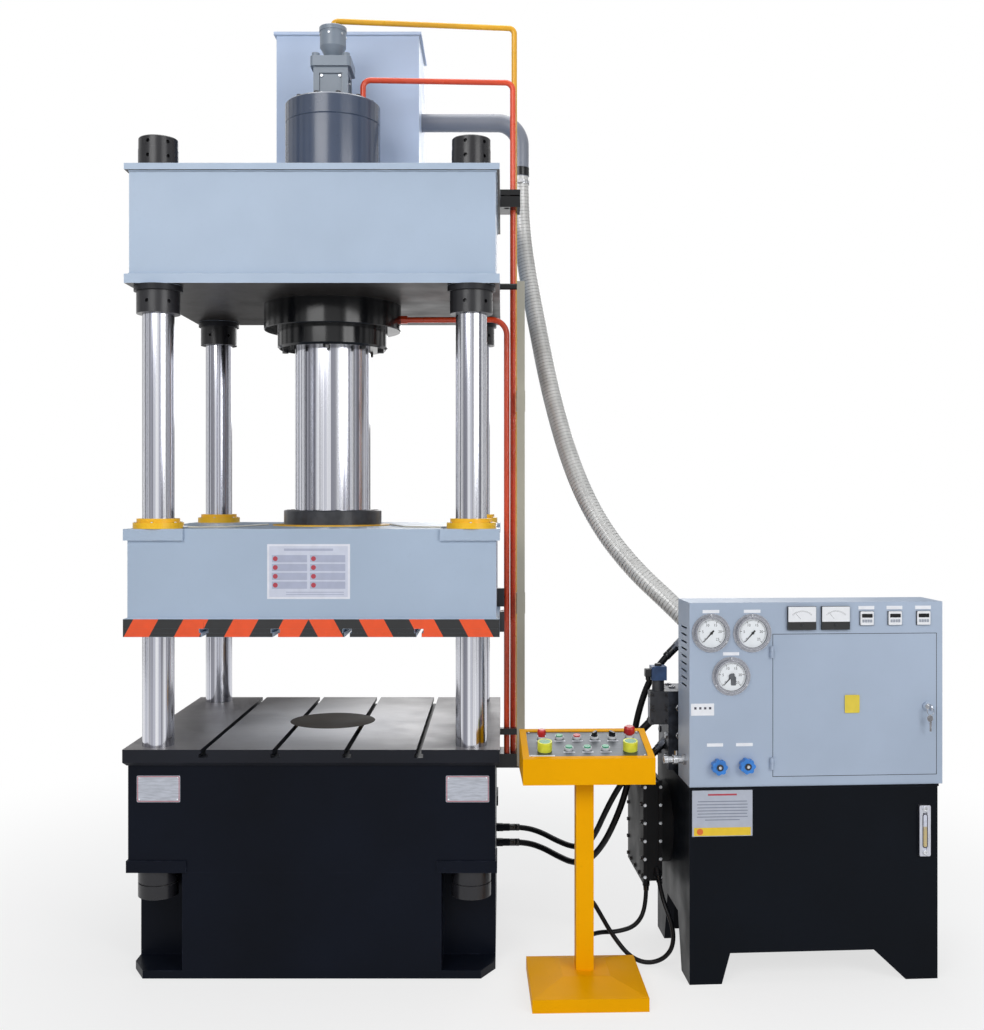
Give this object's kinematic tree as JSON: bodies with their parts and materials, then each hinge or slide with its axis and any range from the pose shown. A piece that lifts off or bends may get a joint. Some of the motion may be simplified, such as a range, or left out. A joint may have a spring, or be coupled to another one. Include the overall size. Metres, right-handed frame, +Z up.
{
  "type": "four column hydraulic press",
  "caption": "Four-column hydraulic press with a T-slotted table and slide, a ram from above, a separate oil power unit with an electric cabinet, and an operator pedestal.",
  "frame": {"origin": "on the floor under the ram's axis, at the middle of the bed's foot plate", "axes": "+Z up along the ram, +X to the right along the front towards the power unit, +Y to the back"},
  "size_m": [2.8321, 1.3905, 3.564],
  "materials": {
    "crown_paint": "gloss",
    "bed_paint": "semi gloss",
    "slide_paint": "gloss",
    "machined_steel": "ground",
    "dark_steel": "blackened",
    "chromed_steel": "polished",
    "cylinder_paint": "satin",
    "valve_paint": "satin",
    "orange_paint": "gloss",
    "yellow_paint": "gloss",
    "wiper_paint": "gloss",
    "bronze": "machined",
    "cabinet_paint": "satin",
    "pedestal_paint": "gloss",
    "tank_paint": "gloss",
    "motor_paint": "painted",
    "panel_metal": "anodised",
    "rail_metal": "zinc plated",
    "clear_hose": "clear with steel coil",
    "black_hose": "matte",
    "blue_plastic": "moulded",
    "red_plastic": "moulded",
    "green_plastic": "moulded",
    "black_plastic": "moulded",
    "sight_plastic": "clear window in a grey strip",
    "needle_black": "matte"
  },
  "bodies": {
    "press": {"bed_frame": "bed_paint", "table_plate": "slide_paint", "guide_columns": "chromed_steel", "column_nuts": "dark_steel", "crown_beam": "crown_paint", "main_cylinder": "cylinder_paint", "cylinder_nut": "dark_steel", "gland_ring": "machined_steel", "prefill_valve": "valve_paint", "prefill_cap": "valve_paint", "top_tank": "crown_paint", "suction_pipe": "crown_paint", "pressure_pipes": "orange_paint", "pilot_pipe": "yellow_paint", "pipe_supports": "dark_steel", "limit_switch_rail": "rail_metal", "ejector_cylinder": "machined_steel", "oil_tank": "tank_paint", "heat_exchanger": "tank_paint", "level_gauge": "sight_plastic", "motor_pump_set": "motor_paint", "valve_block": "dark_steel", "control_valves": "dark_steel", "cabinet_shell": "cabinet_paint", "gauge_cases": "chromed_steel", "panel_meters": "black_plastic", "pedestal_stand": "pedestal_paint", "pedestal_box": "pedestal_paint", "button_panel": "panel_metal", "suction_hose": "clear_hose", "bed_hose_upper": "black_hose", "bed_hose_lower": "black_hose", "main_hose": "black_hose", "power_cable": "black_hose", "control_cable": "black_hose"},
    "slide": {"slide_beam": "slide_paint", "ram": "chromed_steel", "ram_flange": "dark_steel", "wiper_collars": "wiper_paint", "guide_bushes": "bronze", "striker_blocks": "orange_paint"},
    "ejector_plate_body": {"ejector_plate": "machined_steel"},
    "cabinet_door_body": {"cabinet_door": "cabinet_paint"},
    "door_lock_body": {"door_lock": "machined_steel"},
    "blue_knob_left_body": {"blue_knob_left": "blue_plastic"},
    "blue_knob_right_body": {"blue_knob_right": "blue_plastic"},
    "gauge_needle_left_body": {"gauge_needle_left": "needle_black"},
    "gauge_needle_right_body": {"gauge_needle_right": "needle_black"},
    "gauge_needle_contact_body": {"gauge_needle_contact": "needle_black"},
    "stop_button_body": {"stop_button": "red_plastic"},
    "red_mushroom_button_body": {"red_mushroom_button": "red_plastic"},
    "start_button_body": {"start_button": "green_plastic"},
    "halt_button_body": {"halt_button": "red_plastic"},
    "selector_left_body": {"selector_left": "black_plastic"},
    "selector_right_body": {"selector_right": "black_plastic"},
    "palm_button_left_body": {"palm_button_left": "green_plastic"},
    "palm_button_right_body": {"palm_button_right": "green_plastic"},
    "green_button_left_body": {"green_button_left": "green_plastic"},
    "green_button_middle_body": {"green_button_middle": "green_plastic"},
    "green_button_right_body": {"green_button_right": "green_plastic"}
  },
  "joints": [
    {"name": "slide_travel", "type": "slide", "parent": "press", "child": "slide", "axis": [0, 0, 1], "range_m": [-0.19, 0.51]},
    {"name": "ejector_travel", "type": "slide", "parent": "press", "child": "ejector_plate_body", "axis": [0, 0, 1], "range_m": [0, 0.15]},
    {"name": "door_hinge", "type": "hinge", "parent": "press", "child": "cabinet_door_body", "pos_m": [1.58185, -0.56241, 0.95], "axis": [0, 0, -1], "range_deg": [0, 110]},
    {"name": "lock_turn", "type": "hinge", "parent": "cabinet_door_body", "child": "door_lock_body", "pos_m": [2.12722, -0.51965, 0.943], "axis": [0.0654, -0.9979, 0], "range_deg": [0, 90]},
    {"name": "blue_knob_left_turn", "type": "hinge", "parent": "press", "child": "blue_knob_left_body", "pos_m": [1.39679, -0.56752, 0.746], "axis": [0.0654, -0.9979, 0], "range_deg": [-180, 180]},
    {"name": "blue_knob_right_turn", "type": "hinge", "parent": "press", "child": "blue_knob_right_body", "pos_m": [1.49358, -0.56118, 0.748], "axis": [0.0654, -0.9979, 0], "range_deg": [-180, 180]},
    {"name": "gauge_needle_left_turn", "type": "hinge", "parent": "press", "child": "gauge_needle_left_body", "pos_m": [1.37184, -0.56916, 1.201], "axis": [-0.0654, 0.9979, 0], "range_deg": [0, 270], "stiffness_Nm_per_rad": 0.002, "springref_deg": -28.65},
    {"name": "gauge_needle_right_turn", "type": "hinge", "parent": "press", "child": "gauge_needle_right_body", "pos_m": [1.51453, -0.55981, 1.2], "axis": [-0.0654, 0.9979, 0], "range_deg": [0, 270], "stiffness_Nm_per_rad": 0.002, "springref_deg": -28.65},
    {"name": "gauge_needle_contact_turn", "type": "hinge", "parent": "press", "child": "gauge_needle_contact_body", "pos_m": [1.44169, -0.56458, 1.053], "axis": [-0.0654, 0.9979, 0], "range_deg": [0, 270], "stiffness_Nm_per_rad": 0.002, "springref_deg": -28.65},
    {"name": "stop_button_press", "type": "slide", "parent": "press", "child": "stop_button_body", "axis": [-0.0067, 0.1923, -0.9813], "range_m": [0, 0.004], "stiffness_N_per_m": 900, "springref_m": -0.004},
    {"name": "red_mushroom_button_press", "type": "slide", "parent": "press", "child": "red_mushroom_button_body", "axis": [-0.0067, 0.1923, -0.9813], "range_m": [0, 0.004], "stiffness_N_per_m": 700, "springref_m": -0.004},
    {"name": "start_button_press", "type": "slide", "parent": "press", "child": "start_button_body", "axis": [-0.0067, 0.1923, -0.9813], "range_m": [0, 0.003], "stiffness_N_per_m": 500, "springref_m": -0.004},
    {"name": "halt_button_press", "type": "slide", "parent": "press", "child": "halt_button_body", "axis": [-0.0067, 0.1923, -0.9813], "range_m": [0, 0.003], "stiffness_N_per_m": 500, "springref_m": -0.004},
    {"name": "green_button_left_press", "type": "slide", "parent": "press", "child": "green_button_left_body", "axis": [-0.0067, 0.1923, -0.9813], "range_m": [0, 0.003], "stiffness_N_per_m": 500, "springref_m": -0.004},
    {"name": "green_button_middle_press", "type": "slide", "parent": "press", "child": "green_button_middle_body", "axis": [-0.0067, 0.1923, -0.9813], "range_m": [0, 0.003], "stiffness_N_per_m": 500, "springref_m": -0.004},
    {"name": "green_button_right_press", "type": "slide", "parent": "press", "child": "green_button_right_body", "axis": [-0.0067, 0.1923, -0.9813], "range_m": [0, 0.003], "stiffness_N_per_m": 500, "springref_m": -0.004},
    {"name": "palm_button_left_press", "type": "slide", "parent": "press", "child": "palm_button_left_body", "axis": [-0.0067, 0.1923, -0.9813], "range_m": [0, 0.006], "stiffness_N_per_m": 1200, "springref_m": -0.004},
    {"name": "palm_button_right_press", "type": "slide", "parent": "press", "child": "palm_button_right_body", "axis": [-0.0067, 0.1923, -0.9813], "range_m": [0, 0.006], "stiffness_N_per_m": 1200, "springref_m": -0.004},
    {"name": "selector_left_turn", "type": "hinge", "parent": "press", "child": "selector_left_body", "pos_m": [0.97723, -0.52155, 0.83481], "axis": [0.0067, -0.1923, 0.9813], "range_deg": [0, 70]},
    {"name": "selector_right_turn", "type": "hinge", "parent": "press", "child": "selector_right_body", "pos_m": [1.03819, -0.51942, 0.83481], "axis": [0.0067, -0.1923, 0.9813], "range_deg": [-70, 0]}
  ]
}
